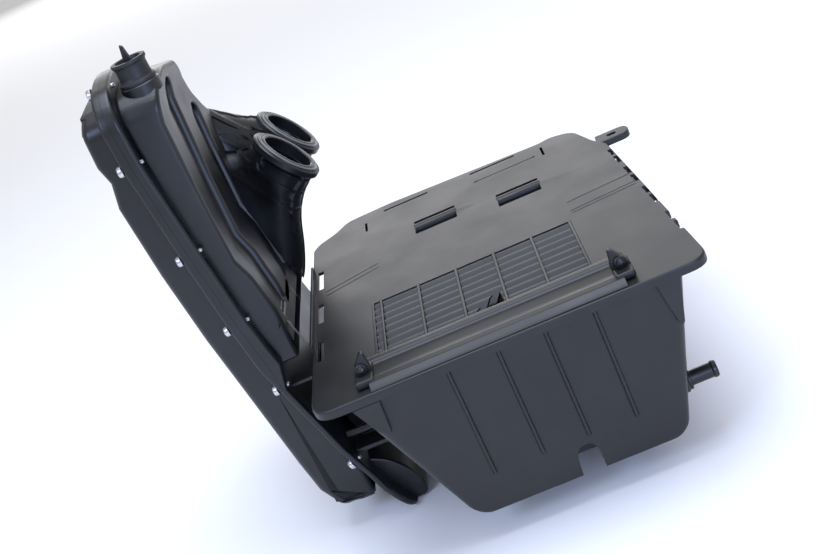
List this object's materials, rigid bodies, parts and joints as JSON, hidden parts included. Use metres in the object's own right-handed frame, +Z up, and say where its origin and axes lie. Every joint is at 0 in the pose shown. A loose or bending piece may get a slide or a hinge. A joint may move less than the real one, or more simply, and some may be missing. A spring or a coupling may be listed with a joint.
{
  "type": "engine air box with slab plenum and twin outlet trumpets",
  "caption": "Air box with a louvred cover plate, joined to an upright slab plenum whose flared outlet trumpets feed side by side ports.",
  "frame": {"origin": "middle of the bounding box, at its lowest point", "axes": "+Z up, square to the cover plate, which lies level; +X from the plenum along the cover plate's front edge; +Y from the front edge to the back edge"},
  "size_m": [0.542, 0.5136, 0.6043],
  "materials": {
    "black_plastic": "satin injection-moulded glass-filled polyamide",
    "satin_plastic": "satin injection-moulded talc-filled polypropylene",
    "zinc_steel": "bright zinc-plated steel",
    "black_rubber": "moulded natural rubber",
    "grey_seal": "grey moulded silicone lip seal",
    "filter_paper": "pleated resin-treated paper",
    "filter_foam": "moulded polyurethane foam frame"
  },
  "bodies": {
    "housing": {"air_box_tub": "satin_plastic", "drain_spigot": "black_plastic", "filter_paper": "filter_paper", "filter_frame": "filter_foam", "plenum_outer_shell": "black_plastic", "plenum_inner_shell": "black_plastic", "plenum_seal": "black_rubber", "trumpet_front": "black_plastic", "trumpet_back": "black_plastic", "port_seal_front": "grey_seal", "port_seal_back": "grey_seal", "clean_air_duct": "black_plastic", "tie_rod": "black_plastic", "upper_tie_strap": "black_plastic", "lower_tie_strap": "black_plastic", "mount_bush": "black_rubber", "mount_pin": "black_plastic", "shell_screw_1": "zinc_steel", "shell_screw_2": "zinc_steel", "shell_screw_3": "zinc_steel", "shell_screw_4": "zinc_steel", "shell_screw_5": "zinc_steel", "shell_screw_6": "zinc_steel", "shell_screw_7": "zinc_steel", "shell_screw_8": "zinc_steel", "shell_screw_9": "zinc_steel", "shell_screw_10": "zinc_steel", "shell_screw_11": "zinc_steel", "shell_screw_12": "zinc_steel"},
    "cover": {"cover_plate": "satin_plastic", "inlet_grille": "satin_plastic", "latch_rail": "satin_plastic", "lug_pin_left": "black_plastic", "lug_pin_right": "black_plastic"}
  },
  "joints": [
    {"name": "cover_lift", "type": "slide", "parent": "housing", "child": "cover", "axis": [0, 0, 1], "range_m": [0, 0.015]}
  ]
}
